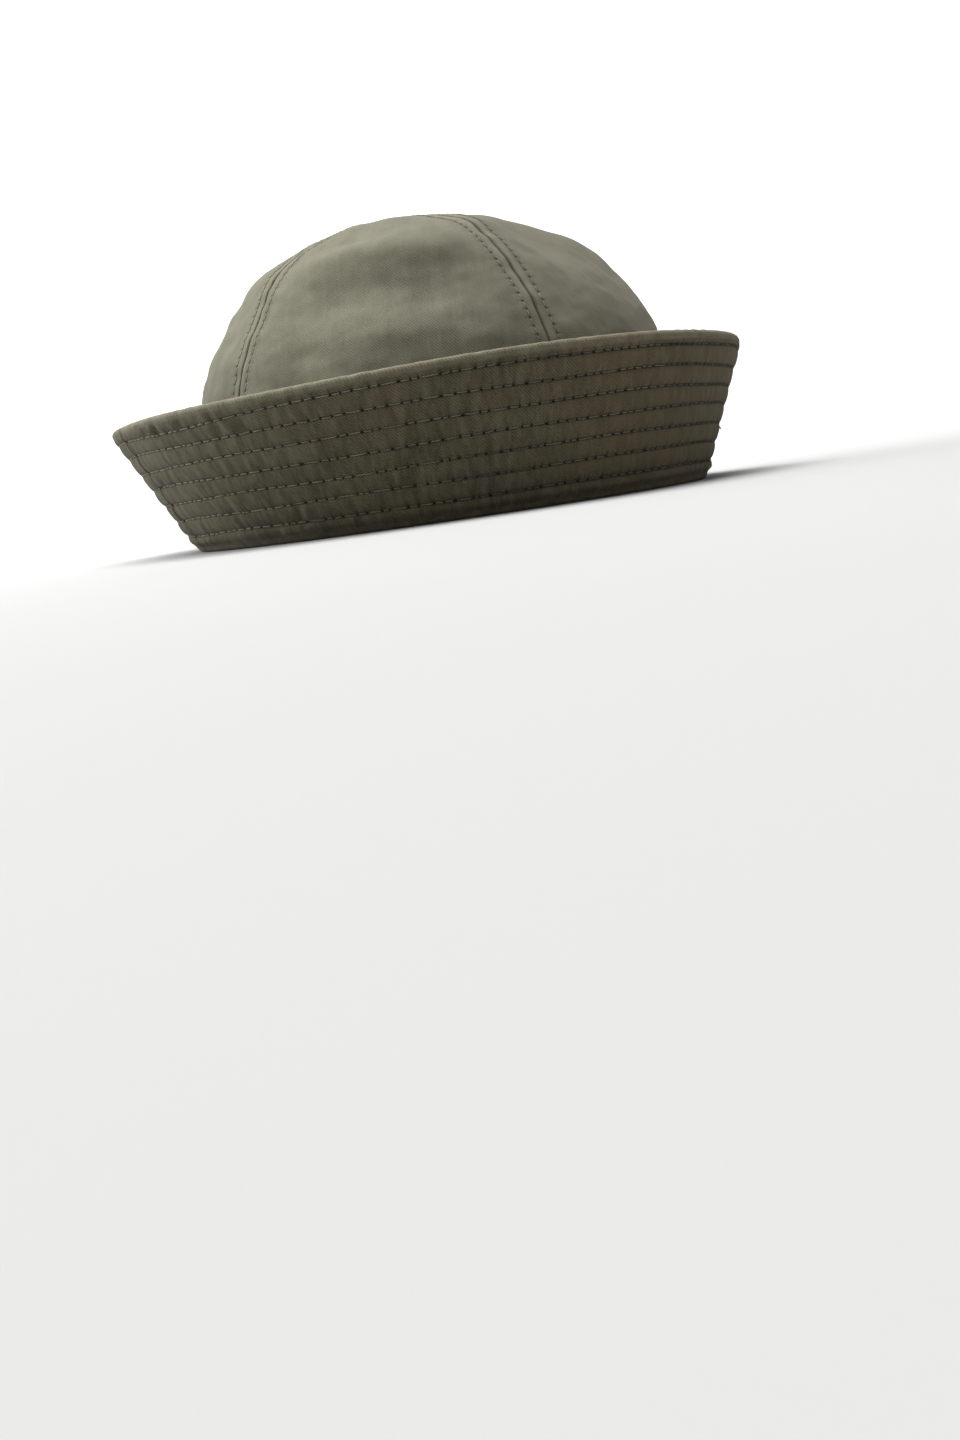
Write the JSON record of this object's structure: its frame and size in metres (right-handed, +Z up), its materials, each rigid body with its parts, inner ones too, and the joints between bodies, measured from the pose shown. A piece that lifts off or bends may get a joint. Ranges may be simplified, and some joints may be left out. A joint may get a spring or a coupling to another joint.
{
  "type": "sailor cap",
  "caption": "Soft twill sailor cap with a domed panelled crown and a quilted brim turned up all round, resting opening down.",
  "frame": {"origin": "middle of the cap's outline from above, on the surface that it rests on", "axes": "+Z up through the crown, +X towards the front, the brim's seam at the back at -X"},
  "size_m": [0.2496, 0.228, 0.11],
  "materials": {
    "brim_twill": "washed cotton twill, matt, stitched in rows",
    "crown_twill": "washed cotton twill, matt, a little faded",
    "band_tape": "worn cotton tape, matt"
  },
  "bodies": {
    "root": {"brim": "brim_twill", "crown_panel_front_left": "crown_twill", "crown_panel_back_left": "crown_twill", "crown_panel_back_right": "crown_twill", "crown_panel_front_right": "crown_twill", "sweatband": "band_tape"}
  },
  "joints": []
}
